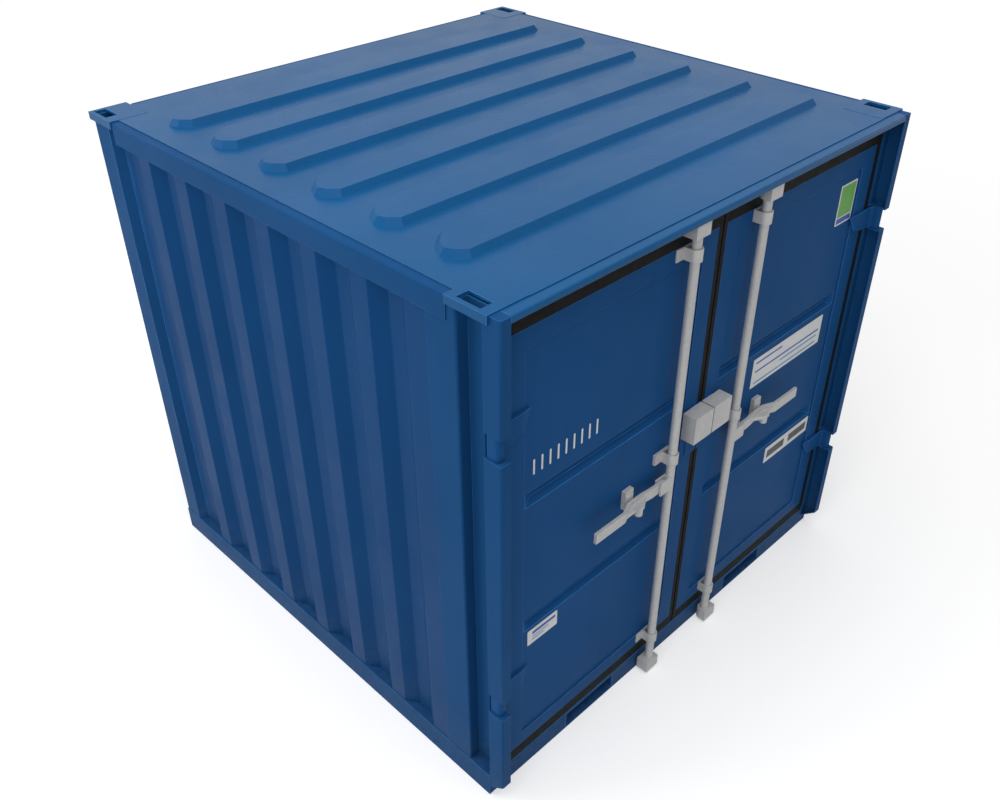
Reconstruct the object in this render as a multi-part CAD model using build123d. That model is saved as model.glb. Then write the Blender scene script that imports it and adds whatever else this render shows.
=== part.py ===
from build123d import *
import math
import os

# A small steel storage container with a two-leaf door.
# Lengths in millimetres: X is the width, Y the length with the doors at -Y, Z up from the ground.

# Sheet thicknesses and clearances
SHEET = 3.0
PROFILE = 4.0
MOVING_GAP = 5.0
PIN_GAP = 1.0
SHOP_GAP = 0.2

# Outer skins of the body, stepped from the posts' half width and the two ends
POST_X = 983.0
RAIL_PROUD = 4.0
RAIL_X = POST_X + RAIL_PROUD
BASE_PROUD = 2.0
BASE_X = POST_X + BASE_PROUD
WALL_SET_BACK = 1.0
WALL_X = POST_X - WALL_SET_BACK
FRONT_Y = -992.0
BACK_Y = 992.0
POST_BACK_STEP = 14.0
POST_BACK_Y = BACK_Y - POST_BACK_STEP
RAIL_BACK_STEP = 11.0
RAIL_BACK_Y = BACK_Y - RAIL_BACK_STEP
WALL_BACK_Y = POST_BACK_Y - WALL_SET_BACK
FRAME_TOP_Z = 1870.0
POST_DROP = 6.0
POST_TOP_Z = FRAME_TOP_Z - POST_DROP
EDGE_RADIUS = 7.0

# Base rails, sill and floor
BASE_Z = 102.0
BASE_FLANGE = 47.0
SILL_Z = 84.0
SILL_FLANGE = 45.0
POCKET_X = 479.5
POCKET_WIDTH = 257.0
POCKET_Z = 74.0
FLOOR_THICK = 18.0
FLOOR_SIDE_GAP = 11.0
FLOOR_END_GAP = 5.0

# Top rails and header
TOP_RAIL_HEIGHT = 72.0
TOP_RAIL_Z = FRAME_TOP_Z - TOP_RAIL_HEIGHT
TOP_RAIL_FLANGE = 52.0
HEADER_LIP = 20.0
HEADER_HEIGHT = 54.0
HEADER_WEB_Z = FRAME_TOP_Z - HEADER_HEIGHT
HEADER_FLANGE = 46.0

# Front posts with the hinge bead
DOOR_SET_BACK = 62.0
DOOR_Y = FRONT_Y + DOOR_SET_BACK
BEAD_LIP = 36.0
GROOVE_DEPTH = 41.0
GROOVE_WIDTH = 92.0
GROOVE_BACK_Y = DOOR_Y + GROOVE_WIDTH
POST_WING = 112.0
SIDE_FRONT_Y = GROOVE_BACK_Y + POST_WING
BEAD_LOW_BACK_Z = 41.0
BEAD_SLANT = 51.0
BEAD_LOW_FRONT_Z = BEAD_LOW_BACK_Z + BEAD_SLANT

# Back posts
BACK_POST_WING = 96.0
BACK_POST_SLOPE = 26.0
BACK_POST_END = 138.0
BACK_POST_SPREAD = 142.0
BACK_RUN_X = POST_X - BACK_POST_SPREAD

# Pressed walls, with as many outer flats as fit at the pitch
WALL_DEPTH = 30.0
WALL_PITCH = 225.0
WALL_FLAT = 69.0
WALL_SLOPE = 49.0
WALL_BEND = 9.0
WALL_BACK_FLAT = 140.0
WALL_END_FLAT = 20.0
SIDE_FIRST_RUN = BACK_POST_END + WALL_BACK_FLAT - POST_BACK_Y
SIDE_COUNT = 1 + int((-SIDE_FRONT_Y - SIDE_FIRST_RUN - WALL_FLAT) / WALL_PITCH)
BACK_COUNT = 1 + int((2 * (BACK_RUN_X - WALL_SLOPE - WALL_END_FLAT) - WALL_FLAT) / WALL_PITCH)

# Hinges
PIN_INSET = 20.0
PIN_X = POST_X - PIN_INSET
PIN_FRONT_INSET = 29.0
PIN_Y = FRONT_Y + PIN_FRONT_INSET
PIN_RADIUS = 8.0
PIN_SINK = 3.0
KNUCKLE_RADIUS = 14.0
KNUCKLE_END_GAP = 2.0
NOTCH_LOW_Z = (438.0, 1443.0)
NOTCH_HEIGHT = 81.0
CAP_THICK = 6.0
STRAP_REACH = 151.0
STRAP_THICK = 11.0
STRAP_TIP_THICK = 4.0
STRAP_TIP_RUN = 40.0
STRAP_TIP_DROP = 3.0
STRAP_TIP_RISE = 15.0
STRAP_SLANT = 32.0
STRAP_FOOT_RUN = 95.0
STRAP_BEND = 12.0

# Roof sheet and its pressed ribs, as many as fit at the pitch
ROOF_SIDE_MARGIN = 25.0
ROOF_HALF_X = POST_X - ROOF_SIDE_MARGIN
ROOF_END_MARGIN = 35.0
ROOF_FRONT_Y = FRONT_Y + ROOF_END_MARGIN
ROOF_BACK_Y = BACK_Y - ROOF_END_MARGIN
RIB_HEIGHT = 21.0
RIB_PITCH = 265.9
RIB_FIRST = 265.0
RIB_FIRST_Y = FRONT_Y + RIB_FIRST
RIB_END_INSET = (139.0, 102.0, 87.0, 106.0, 136.0, 170.0)
RIB_END_Y = (0.0, 35.5, 71.0, 112.0, 140.0, 165.0)
RIB_INSET = 17.5
RIB_COUNT = 1 + int((ROOF_BACK_Y - RIB_FIRST_Y - RIB_END_Y[-1]) / RIB_PITCH)

# Corner plates with a lifting slot
PLATE_PROUD = 8.0
PLATE_X = POST_X + PLATE_PROUD
PLATE_WIDTH = 139.0
PLATE_INNER_X = PLATE_X - PLATE_WIDTH
PLATE_LENGTH = 149.0
PLATE_FRONT_STEP = 37.0
PLATE_FRONT_Y = FRONT_Y + PLATE_FRONT_STEP
PLATE_REAR_Y = PLATE_FRONT_Y + PLATE_LENGTH
PLATE_BACK_INNER_Y = BACK_Y - PLATE_LENGTH
PLATE_RISE = 4.0
PLATE_TOP_Z = FRAME_TOP_Z + PLATE_RISE
SKIRT = 16.0
SKIRT_Z = POST_TOP_Z - SKIRT
SLOT_WIDTH = 42.0
SLOT_LENGTH = 84.0
SLOT_SIDE_MARGIN = 14.0
SLOT_X = PLATE_X - SLOT_SIDE_MARGIN - SLOT_WIDTH
SLOT_FRONT_MARGIN = 34.0
SLOT_FRONT_Y = PLATE_FRONT_Y + SLOT_FRONT_MARGIN
SLOT_BACK_MARGIN = 15.0
SLOT_BACK_Y = BACK_Y - SLOT_BACK_MARGIN - SLOT_LENGTH

# Door leaves and their seals
SEAL_INNER_X = 3.4
SEAL_OUTER_X = POST_X - GROOVE_DEPTH - PROFILE - MOVING_GAP
SEAL_SIDE = 24.0
SEAL_FOOT = 42.0
SEAL_DEPTH = 25.0
LEAF_INNER_X = 21.0
LEAF_OUTER_X = SEAL_OUTER_X - SEAL_SIDE
LEAF_LOW_Z = SILL_Z + MOVING_GAP + SEAL_FOOT
LEAF_TOP_GAP = 53.0
LEAF_TOP_Z = HEADER_WEB_Z - LEAF_TOP_GAP
LEAF_DEPTH = 40.0
STILE_INNER = 69.0
STILE_OUTER = 76.0
RAIL_LOW = 59.0
RAIL_TOP = 66.0
PANEL_RECESS = 6.0
PRESS_LOW_Z = (664.0, 1167.0)
PRESS_HEIGHT = 52.0
PRESS_DEPTH = 20.0
PRESS_SLOPE = 13.0
PRESS_END_GAP = 9.0
PRESS_END_X = LEAF_OUTER_X - STILE_OUTER - PRESS_END_GAP
PRESS_END_SLOPE = 38.0

# Lock bars
BAR_X = 176.0
BAR_STAND = 31.0
BAR_Y = DOOR_Y - BAR_STAND
BAR_RADIUS = 15.0
BAR_BORE = 12.0
CAM_LONG = 39.0
CAM_SHORT = 26.0
CAM_HALF_Y = 23.5
CAM_LOW_Z = 12.0
CAM_LOW = 48.0
CAM_LOW_TOP_Z = CAM_LOW_Z + CAM_LOW
CAM_TOP_DROP = 26.0
CAM_TOP_Z = FRAME_TOP_Z - CAM_TOP_DROP
CAM_HIGH = 41.0
CAM_HIGH_Z = CAM_TOP_Z - CAM_HIGH

# Lifting handle, run by run from its pivot, and the hub that carries it
HANDLE_LOW_Z = 898.0
HANDLE_HEIGHT = 39.0
HANDLE_THICK = 11.0
HANDLE_STEP = 6.0
HANDLE_Y = BAR_Y + HANDLE_STEP
HANDLE_PIVOT = 39.0
HANDLE_STRAIGHT = 56.0
HANDLE_STRAIGHT_X = BAR_X + HANDLE_PIVOT + HANDLE_STRAIGHT
HANDLE_DIP_RUN = 47.0
HANDLE_DIP_X = HANDLE_STRAIGHT_X + HANDLE_DIP_RUN
HANDLE_DIP = 5.0
HANDLE_SEAT = 60.0
HANDLE_CRANK_X = HANDLE_DIP_X + HANDLE_SEAT
HANDLE_CRANK_RUN = 49.0
HANDLE_CRANK_END_X = HANDLE_CRANK_X + HANDLE_CRANK_RUN
HANDLE_CRANK = 15.0
HANDLE_GRIP = 138.0
HANDLE_END_X = HANDLE_CRANK_END_X + HANDLE_GRIP
HANDLE_SLOT_GAP = 1.5
PIVOT_RADIUS = 5.0
HUB_REACH = 60.0
HUB_FRONT = 13.0
HUB_BELOW = 10.0
HUB_LOW_Z = HANDLE_LOW_Z - HUB_BELOW
HUB_HEIGHT = 53.0
HUB_TOP_Z = HUB_LOW_Z + HUB_HEIGHT

# Hasp plate on the handle and the retainer behind it
HASP_TIP = 32.0
HASP_WIDE = 23.0
HASP_REACH = 36.0
HASP_FRONT_Y = HANDLE_Y - HASP_REACH
HASP_SWEEP = 2.0
HASP_STEP = 8.0
HASP_RISE = 27.0
HASP_TOP_Z = HANDLE_LOW_Z + HASP_RISE
HASP_THICK = 14.0
KNOB_INSET = 15.0
KNOB_RADIUS = 14.0
KNOB_HEIGHT = 22.0
RETAINER_X = HANDLE_DIP_X + HASP_WIDE
RETAINER_WIDTH = 40.0
RETAINER_DROP = 2.0
RETAINER_LOW_Z = HANDLE_LOW_Z - RETAINER_DROP
RETAINER_HEIGHT = 74.0
RETAINER_TOP_Z = RETAINER_LOW_Z + RETAINER_HEIGHT
RETAINER_THICK = 17.0
RETAINER_STEP = 17.0
RETAINER_STEP_INSET = 5.0

# Bar brackets
BRACKET_LOW_Z = 150.0
BRACKET_MIDDLE_Z = 990.0
BRACKET_TOP_DROP = 41.0
BRACKET_HEIGHT = 40.0
BRACKET_BAND = 5.0
BRACKET_FOOT = 33.0

# Lock box across the meeting edges
BOX_HALF_GAP = 2.8
BOX_HALF_X = 99.0
BOX_STAND = 57.0
BOX_FRONT_Y = DOOR_Y - BOX_STAND
BOX_LOW_Z = 1031.0
BOX_HEIGHT = 103.0
BOX_TOP_Z = BOX_LOW_Z + BOX_HEIGHT
BOX_PLATE_X = 60.0
BOX_PLATE_DROP = 95.0
BOX_PLATE_LOW_Z = BOX_LOW_Z - BOX_PLATE_DROP


def block(x0, x1, y0, y1, z0, z1):
    """A straight block between two corners."""
    return Pos(x0, y0, z0) * Box(x1 - x0, y1 - y0, z1 - z0, align=(Align.MIN,) * 3)


def bent_sheet(line, thick):
    """Closed outline of a bent sheet, its skin along the line and its body to the right of travel."""
    normals = []
    for (a, b), (c, d) in zip(line, line[1:]):
        run = math.hypot(c - a, d - b)
        normals.append(((d - b) / run, (a - c) / run))
    inner = []
    for (a, b), first, second in zip(line, normals[:1] + normals, normals + normals[-1:]):
        reach = thick / (1 + first[0] * second[0] + first[1] * second[1])
        inner.append((a + reach * (first[0] + second[0]), b + reach * (first[1] + second[1])))
    return Polygon(*line, *reversed(inner), align=None)


def upright(outline, z0, z1):
    """A plan outline drawn up from z0 to z1."""
    return extrude(Pos(0, 0, z0) * outline, z1 - z0, dir=(0, 0, 1))


def lengthwise(outline, y0, y1):
    """An outline in X and Z drawn from y0 to y1."""
    return extrude(Plane((0, y0, 0), (1, 0, 0), (0, -1, 0)) * outline, y1 - y0, dir=(0, 1, 0))


def crosswise(outline, x0, x1):
    """An outline in Y and Z drawn from x0 to x1."""
    return extrude(Plane((x0, 0, 0), (0, 1, 0), (1, 0, 0)) * outline, x1 - x0, dir=(1, 0, 0))


def mirrored(shape):
    """The same piece on the other side of the middle plane."""
    return mirror(shape, about=Plane.YZ)


def nearest(shape, x, y):
    """The corners of a flat shape, the one nearest to a place first."""
    return sorted(shape.vertices(), key=lambda corner: math.hypot(corner.X - x, corner.Y - y))


def rounded(shape, along, first, first_at, second, second_at):
    """Round the edges along one axis that lie at given places on the two other axes."""
    edges = shape.edges().filter_by(along).filter_by_position(first, first_at, first_at)
    return fillet(edges.filter_by_position(second, second_at, second_at), EDGE_RADIUS)


def write(name, *solids):
    """Write one node, one or more loose solids."""
    export_step(solids[0] if len(solids) == 1 else Compound(children=list(solids)), f"parts/{name}.step")


def pressed_line(start, first, count):
    """Run and depth of a pressed wall: inner flat at start, then count outer flats from first on."""
    line = [(start, WALL_DEPTH)]
    for k in range(count):
        edge = first + k * WALL_PITCH
        line += [(edge - WALL_SLOPE, WALL_DEPTH), (edge, 0), (edge + WALL_FLAT, 0),
                 (edge + WALL_FLAT + WALL_SLOPE, WALL_DEPTH)]
    return line


def pressed_sheet(skin):
    """A wall sheet drawn up from its plan line, rounded at every bend."""
    sheet = bent_sheet(skin, SHEET)
    ends = nearest(sheet, *skin[0])[:2] + nearest(sheet, *skin[-1])[:2]
    bends = [corner for corner in sheet.vertices() if corner not in ends]
    return upright(fillet(bends, WALL_BEND), BASE_Z, TOP_RAIL_Z)


def side_wall():
    """Left wall sheet with upright trapezoid presses, ending flat at the front post."""
    line = pressed_line(BACK_POST_END - POST_BACK_Y, SIDE_FIRST_RUN, SIDE_COUNT)[:-2] + [(-SIDE_FRONT_Y, 0)]
    return pressed_sheet([(depth - WALL_X, -run) for run, depth in reversed(line)])


def back_wall():
    """Back wall sheet pressed like the sides."""
    middle = (BACK_COUNT - 1) * WALL_PITCH + WALL_FLAT
    line = pressed_line(-BACK_RUN_X, -middle / 2, BACK_COUNT) + [(BACK_RUN_X, WALL_DEPTH)]
    return pressed_sheet([(run, WALL_BACK_Y - depth) for run, depth in line])


def top_rail():
    """Left top rail, a channel over the wall with its roof flange turned in."""
    inner = RAIL_X - TOP_RAIL_FLANGE
    whole = [(-inner, TOP_RAIL_Z), (-RAIL_X, TOP_RAIL_Z), (-RAIL_X, FRAME_TOP_Z), (-inner, FRAME_TOP_Z)]
    rail = lengthwise(bent_sheet(whole, PROFILE), SIDE_FRONT_Y, POST_BACK_Y - BACK_POST_END)
    rail += lengthwise(bent_sheet(whole[1:], PROFILE), PLATE_REAR_Y, SIDE_FRONT_Y)
    return rounded(rail, Axis.Y, Axis.X, -RAIL_X, Axis.Z, FRAME_TOP_Z)


def top_rail_back():
    """Back top rail between the back posts."""
    inner = RAIL_BACK_Y - TOP_RAIL_FLANGE
    line = [(inner, FRAME_TOP_Z), (RAIL_BACK_Y, FRAME_TOP_Z), (RAIL_BACK_Y, TOP_RAIL_Z), (inner, TOP_RAIL_Z)]
    rail = crosswise(bent_sheet(line, PROFILE), -BACK_RUN_X, BACK_RUN_X)
    return rounded(rail, Axis.X, Axis.Y, RAIL_BACK_Y, Axis.Z, FRAME_TOP_Z)


def header():
    """Front header: rain lip, roof flange, web over the doors and its turned-in foot."""
    lip_x = POST_X - BEAD_LIP
    web_x = POST_X - GROOVE_DEPTH - PROFILE
    web_y = DOOR_Y + PROFILE
    lip = [(FRONT_Y, FRAME_TOP_Z - HEADER_LIP), (FRONT_Y, FRAME_TOP_Z), (web_y, FRAME_TOP_Z)]
    web = [(DOOR_Y, FRAME_TOP_Z), (web_y, FRAME_TOP_Z), (web_y, HEADER_WEB_Z),
           (web_y + HEADER_FLANGE, HEADER_WEB_Z)]
    shape = crosswise(bent_sheet(lip, PROFILE), -lip_x, lip_x)
    shape += crosswise(bent_sheet(web, PROFILE), -web_x, web_x)
    for side in (-1, 1):
        ends = sorted((side * PLATE_INNER_X, side * PLATE_X))
        shape -= block(*ends, PLATE_FRONT_Y, PLATE_REAR_Y, POST_TOP_Z, PLATE_TOP_Z)
    return rounded(shape, Axis.X, Axis.Y, FRONT_Y, Axis.Z, FRAME_TOP_Z)


def base_rail():
    """Left base rail, a channel closed by a plate at each end."""
    inner = BASE_X - BASE_FLANGE
    line = [(-inner, 0), (-BASE_X, 0), (-BASE_X, BASE_Z), (-inner, BASE_Z)]
    rail = lengthwise(bent_sheet(line, PROFILE), DOOR_Y, POST_BACK_Y)
    for y0 in (DOOR_Y, POST_BACK_Y - PROFILE):
        rail += block(-BASE_X, -inner, y0, y0 + PROFILE, 0, BASE_Z)
    return rail


def pocket(hollow):
    """Right forklift pocket tube, or the plain outer block that it fills."""
    x0 = POCKET_X - POCKET_WIDTH / 2
    x1 = POCKET_X + POCKET_WIDTH / 2
    tube = block(x0, x1, DOOR_Y, POST_BACK_Y, 0, POCKET_Z)
    if hollow:
        tube -= block(x0 + PROFILE, x1 - PROFILE, DOOR_Y, POST_BACK_Y, PROFILE, POCKET_Z - PROFILE)
    return tube


def cross_rail(line):
    """A base rail across the width, cut for the two pockets."""
    inner = BASE_X - BASE_FLANGE
    rail = crosswise(bent_sheet(line, PROFILE), -inner, inner)
    return rail - pocket(False) - mirrored(pocket(False))


def back_post():
    """Left back post, a corner sheet with returns onto both walls."""
    near = POST_BACK_Y - BACK_POST_WING
    side_x = WALL_DEPTH - WALL_X
    back_y = WALL_BACK_Y - WALL_DEPTH
    wing_x = BACK_POST_WING - POST_X
    line = [(side_x, POST_BACK_Y - BACK_POST_END), (side_x, near - BACK_POST_SLOPE), (-POST_X, near),
            (-POST_X, POST_BACK_Y), (wing_x, POST_BACK_Y), (wing_x + BACK_POST_SLOPE, back_y),
            (-BACK_RUN_X, back_y)]
    post = upright(bent_sheet(line, PROFILE), BASE_Z, POST_TOP_Z)
    return rounded(post, Axis.Z, Axis.X, -POST_X, Axis.Y, POST_BACK_Y)


def front_post():
    """Left front post: wall wing, outside groove and hinge bead, notched for both hinge knuckles."""
    lip_x = BEAD_LIP - POST_X
    groove_x = GROOVE_DEPTH - POST_X
    bead = [(lip_x, FRONT_Y), (-POST_X, FRONT_Y), (-POST_X, DOOR_Y)]
    rest = [(groove_x, DOOR_Y), (groove_x, GROOVE_BACK_Y), (-POST_X, GROOVE_BACK_Y), (-POST_X, SIDE_FRONT_Y)]
    post = upright(bent_sheet(bead + rest, PROFILE), BASE_Z, POST_TOP_Z)
    post += upright(bent_sheet(bead, PROFILE), BEAD_LOW_BACK_Z, BASE_Z)
    foot = [(DOOR_Y, BEAD_LOW_BACK_Z), (FRONT_Y, BEAD_LOW_FRONT_Z)]
    closing = [(y, z + PROFILE) for y, z in reversed(foot)]
    post -= crosswise(Polygon(*foot, (FRONT_Y, 0), (DOOR_Y, 0), align=None), -PLATE_X, lip_x)
    post += crosswise(Polygon(*foot, *closing, align=None), -POST_X, lip_x)
    post += block(-POST_X, lip_x, FRONT_Y, PLATE_FRONT_Y, POST_TOP_Z, FRAME_TOP_Z)
    for low in NOTCH_LOW_Z:
        post -= block(-PLATE_X, groove_x + PROFILE, FRONT_Y, DOOR_Y, low, low + NOTCH_HEIGHT)
        for z0 in (low - CAP_THICK, low + NOTCH_HEIGHT):
            cap = block(PROFILE - POST_X, lip_x, FRONT_Y + PROFILE, DOOR_Y - PROFILE, z0, z0 + CAP_THICK)
            post += cap - Pos(-PIN_X, PIN_Y, z0) * bore(PIN_RADIUS + SHOP_GAP, CAP_THICK)
    post = rounded(post, Axis.Z, Axis.X, -POST_X, Axis.Y, GROOVE_BACK_Y)
    return rounded(post, Axis.Z, Axis.X, -POST_X, Axis.Y, FRONT_Y)


def bore(radius, height):
    """An upright round solid standing on its lower end."""
    return Cylinder(radius, height, align=(Align.CENTER, Align.CENTER, Align.MIN))


def hinge_pins():
    """Four pins held by the cap plates of the notches, sunk a little below the caps."""
    reach = CAP_THICK - PIN_SINK
    pin = bore(PIN_RADIUS, NOTCH_HEIGHT + 2 * reach)
    return [Pos(side * PIN_X, PIN_Y, low - reach) * pin for side in (-1, 1) for low in NOTCH_LOW_Z]


def rib_outline(y0, inset, z):
    """Plan outline of a roof rib with blunt many-sided ends, drawn in by inset at height z."""
    end = [(ROOF_HALF_X - inset_x, y) for inset_x, y in zip(RIB_END_INSET, RIB_END_Y)]
    outline = Polygon(*end, *[(-x, y) for x, y in reversed(end)], align=None)
    return Pos(0, y0, z) * (offset(outline, -inset, kind=Kind.INTERSECTION) if inset else outline)


def rib(y0, skin):
    """A roof rib, or with a skin the hollow under it."""
    top = FRAME_TOP_Z + SHEET + RIB_HEIGHT - skin
    return loft([rib_outline(y0, skin, FRAME_TOP_Z), rib_outline(y0, skin + RIB_INSET, top)], ruled=True)


def roof():
    """Roof sheet with hollow ribs across it, clear of the four corner plates."""
    sheet = block(-ROOF_HALF_X, ROOF_HALF_X, ROOF_FRONT_Y, ROOF_BACK_Y, FRAME_TOP_Z, FRAME_TOP_Z + SHEET)
    edge = PLATE_INNER_X - PIN_GAP
    for y0, y1 in ((FRONT_Y, PLATE_REAR_Y + PIN_GAP), (PLATE_BACK_INNER_Y - PIN_GAP, BACK_Y)):
        for side in (-1, 1):
            sheet -= block(*sorted((side * edge, side * PLATE_X)), y0, y1, FRAME_TOP_Z, PLATE_TOP_Z)
    starts = [RIB_FIRST_Y + k * RIB_PITCH for k in range(RIB_COUNT)]
    for y0 in starts:
        sheet += rib(y0, 0)
    for y0 in starts:
        sheet -= rib(y0, SHEET)
    return sheet


def corner_plate_front():
    """Left front corner plate with its lifting slot and outer skirt."""
    plate = block(-PLATE_X, -PLATE_INNER_X, PLATE_FRONT_Y, PLATE_REAR_Y, POST_TOP_Z, PLATE_TOP_Z)
    plate += block(-PLATE_X, -POST_X, PLATE_FRONT_Y, PLATE_REAR_Y, SKIRT_Z, POST_TOP_Z)
    return plate - slot(SLOT_FRONT_Y)


def corner_plate_back():
    """Left back corner plate, skirted on both outer sides."""
    plate = block(-PLATE_X, -PLATE_INNER_X, PLATE_BACK_INNER_Y, BACK_Y, POST_TOP_Z, PLATE_TOP_Z)
    plate += block(-PLATE_X, -POST_X, PLATE_BACK_INNER_Y, BACK_Y, SKIRT_Z, POST_TOP_Z)
    plate += block(-POST_X, -PLATE_INNER_X, RAIL_BACK_Y, BACK_Y, SKIRT_Z, POST_TOP_Z)
    return plate - slot(SLOT_BACK_Y)


def slot(y0):
    """The lifting slot of a left corner plate."""
    return block(-SLOT_X - SLOT_WIDTH, -SLOT_X, y0, y0 + SLOT_LENGTH, POST_TOP_Z, PLATE_TOP_Z)


def leaf_frame():
    """Right door leaf: stiles and rails in one ring."""
    back = DOOR_Y + LEAF_DEPTH
    ring = block(LEAF_INNER_X, LEAF_OUTER_X, DOOR_Y, back, LEAF_LOW_Z, LEAF_TOP_Z)
    return ring - block(LEAF_INNER_X + STILE_INNER, LEAF_OUTER_X - STILE_OUTER, DOOR_Y, back,
                        LEAF_LOW_Z + RAIL_LOW, LEAF_TOP_Z - RAIL_TOP)


def press(low, skin):
    """Right door press: the recess itself, or with a skin the recess and the sheet behind it."""
    front = DOOR_Y + PANEL_RECESS
    share = (PRESS_DEPTH + skin) / PRESS_DEPTH
    side = skin * math.hypot(PRESS_SLOPE, PRESS_DEPTH) / PRESS_DEPTH
    end = PRESS_END_X + skin * math.hypot(PRESS_END_SLOPE, PRESS_DEPTH) / PRESS_DEPTH
    faces = []
    for depth in (0, share):
        rise = depth * PRESS_SLOPE - side
        corners = [(LEAF_INNER_X + STILE_INNER, low + rise), (end - depth * PRESS_END_SLOPE, low + rise),
                   (end - depth * PRESS_END_SLOPE, low + PRESS_HEIGHT - rise),
                   (LEAF_INNER_X + STILE_INNER, low + PRESS_HEIGHT - rise)]
        level = Plane((0, front + depth * PRESS_DEPTH, 0), (1, 0, 0), (0, -1, 0))
        faces.append(level * Polygon(*corners, align=None))
    return loft(faces, ruled=True)


def leaf_panel():
    """Right door panel: a sheet with two presses across it that run out before the outer stile."""
    front = DOOR_Y + PANEL_RECESS
    sheet = block(LEAF_INNER_X + STILE_INNER, LEAF_OUTER_X - STILE_OUTER, front, front + SHEET,
                  LEAF_LOW_Z + RAIL_LOW, LEAF_TOP_Z - RAIL_TOP)
    for low in PRESS_LOW_Z:
        sheet += press(low, SHEET)
    for low in PRESS_LOW_Z:
        sheet -= press(low, 0)
    return sheet


def leaf_seal():
    """Right rubber seal all round the leaf."""
    back = DOOR_Y + SEAL_DEPTH
    top = HEADER_WEB_Z - PROFILE - MOVING_GAP
    ring = block(SEAL_INNER_X, SEAL_OUTER_X, DOOR_Y, back, SILL_Z + MOVING_GAP, top)
    return ring - block(LEAF_INNER_X, LEAF_OUTER_X, DOOR_Y, back, LEAF_LOW_Z, LEAF_TOP_Z)


def strap(low):
    """Right hinge strap: a plate on the stile, slanted at its tip, turned out to a knuckle round the pin."""
    z0 = low + KNUCKLE_END_GAP
    z1 = low + NOTCH_HEIGHT - KNUCKLE_END_GAP
    tip_x = PIN_X - STRAP_REACH
    neck_x = PIN_X - KNUCKLE_RADIUS
    end_x = PIN_X + KNUCKLE_RADIUS
    face = DOOR_Y - STRAP_THICK
    clear = DOOR_Y - MOVING_GAP
    plan = Polygon((tip_x, DOOR_Y), (LEAF_OUTER_X, DOOR_Y), (LEAF_OUTER_X + MOVING_GAP, clear),
                   (end_x, clear), (end_x, PIN_Y), (neck_x, PIN_Y), (neck_x, face),
                   (tip_x + STRAP_TIP_RUN, face), (tip_x, DOOR_Y - STRAP_TIP_THICK), align=None)
    plate = upright(fillet(nearest(plan, neck_x, face)[:1], STRAP_BEND), z0, z1)
    side = Polygon((tip_x, z1 - STRAP_TIP_DROP), (tip_x + STRAP_TIP_RUN, z1), (end_x, z1), (end_x, z0),
                   (tip_x + STRAP_FOOT_RUN, z0), (tip_x + STRAP_SLANT, z0 + STRAP_TIP_RISE), align=None)
    plate = plate & lengthwise(side, FRONT_Y, DOOR_Y)
    plate += Pos(PIN_X, PIN_Y, z0) * bore(KNUCKLE_RADIUS, z1 - z0)
    return plate - Pos(PIN_X, PIN_Y, z0) * bore(PIN_RADIUS + PIN_GAP, z1 - z0)


def bracket(low, seat):
    """Right bar bracket: a band round the bar on a back plate with one foot to the outside."""
    inner = BAR_RADIUS + PIN_GAP
    outer = inner + BRACKET_BAND
    plate = DOOR_Y - BAR_Y - BRACKET_BAND
    band = Circle(outer) + plan_rect(-outer, outer, 0, plate)
    band -= Circle(inner) + plan_rect(-inner, inner, 0, plate)
    band += plan_rect(-outer, outer + BRACKET_FOOT, plate, seat - BAR_Y)
    return upright(Pos(BAR_X, BAR_Y) * band, low, low + BRACKET_HEIGHT)


def plan_rect(x0, x1, y0, y1):
    """A plan rectangle between two corners."""
    return Pos(x0, y0) * Rectangle(x1 - x0, y1 - y0, align=(Align.MIN, Align.MIN))


def brackets():
    """Three brackets, the middle one packed out from the recessed panel."""
    return [bracket(BRACKET_LOW_Z, DOOR_Y), bracket(BRACKET_MIDDLE_Z, DOOR_Y + PANEL_RECESS),
            bracket(LEAF_TOP_Z - BRACKET_TOP_DROP, DOOR_Y)]


def cam(z0, z1):
    """Right bar end block, long towards the handle and rounded where it turns past the door."""
    plan = plan_rect(0, CAM_LONG, -CAM_HALF_Y, CAM_HALF_Y) + plan_rect(-CAM_SHORT, 0, -CAM_HALF_Y, 0)
    plan += Circle(CAM_SHORT) & plan_rect(-CAM_SHORT, 0, 0, CAM_HALF_Y)
    return upright(Pos(BAR_X, BAR_Y) * plan, z0, z1)


def lock_bar():
    """Right lock bar: tube, end blocks and the forked hub of the handle."""
    bar = Pos(BAR_X, BAR_Y, CAM_LOW_TOP_Z) * bore(BAR_RADIUS, CAM_HIGH_Z - CAM_LOW_TOP_Z)
    bar -= Pos(BAR_X, BAR_Y, CAM_LOW_TOP_Z) * bore(BAR_BORE, CAM_HIGH_Z - CAM_LOW_TOP_Z)
    bar += cam(CAM_LOW_Z, CAM_LOW_TOP_Z) + cam(CAM_HIGH_Z, CAM_TOP_Z)
    hub = block(BAR_X, BAR_X + HUB_REACH, BAR_Y - HUB_FRONT, BAR_Y + BAR_RADIUS, HUB_LOW_Z, HUB_TOP_Z)
    hub -= Pos(BAR_X, BAR_Y, HUB_LOW_Z) * bore(BAR_BORE, HUB_TOP_Z - HUB_LOW_Z)
    tail_x = BAR_X + HANDLE_PIVOT - HANDLE_HEIGHT / 2 - HANDLE_SLOT_GAP
    slot_y = HANDLE_Y - HANDLE_THICK - HANDLE_SLOT_GAP
    fork = block(tail_x, BAR_X + HUB_REACH, slot_y, HANDLE_Y + HANDLE_SLOT_GAP, HUB_LOW_Z, HUB_TOP_Z)
    return bar + (hub - fork) + pivot(PIVOT_RADIUS, BAR_Y - HUB_FRONT, BAR_Y + BAR_RADIUS)


def pivot(radius, y0, y1):
    """A round solid on the handle's lifting axis."""
    axis = Plane((BAR_X + HANDLE_PIVOT, y0, HANDLE_LOW_Z + HANDLE_HEIGHT / 2), (1, 0, 0), (0, -1, 0))
    return extrude(axis * Circle(radius), y1 - y0, dir=(0, 1, 0))


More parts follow.
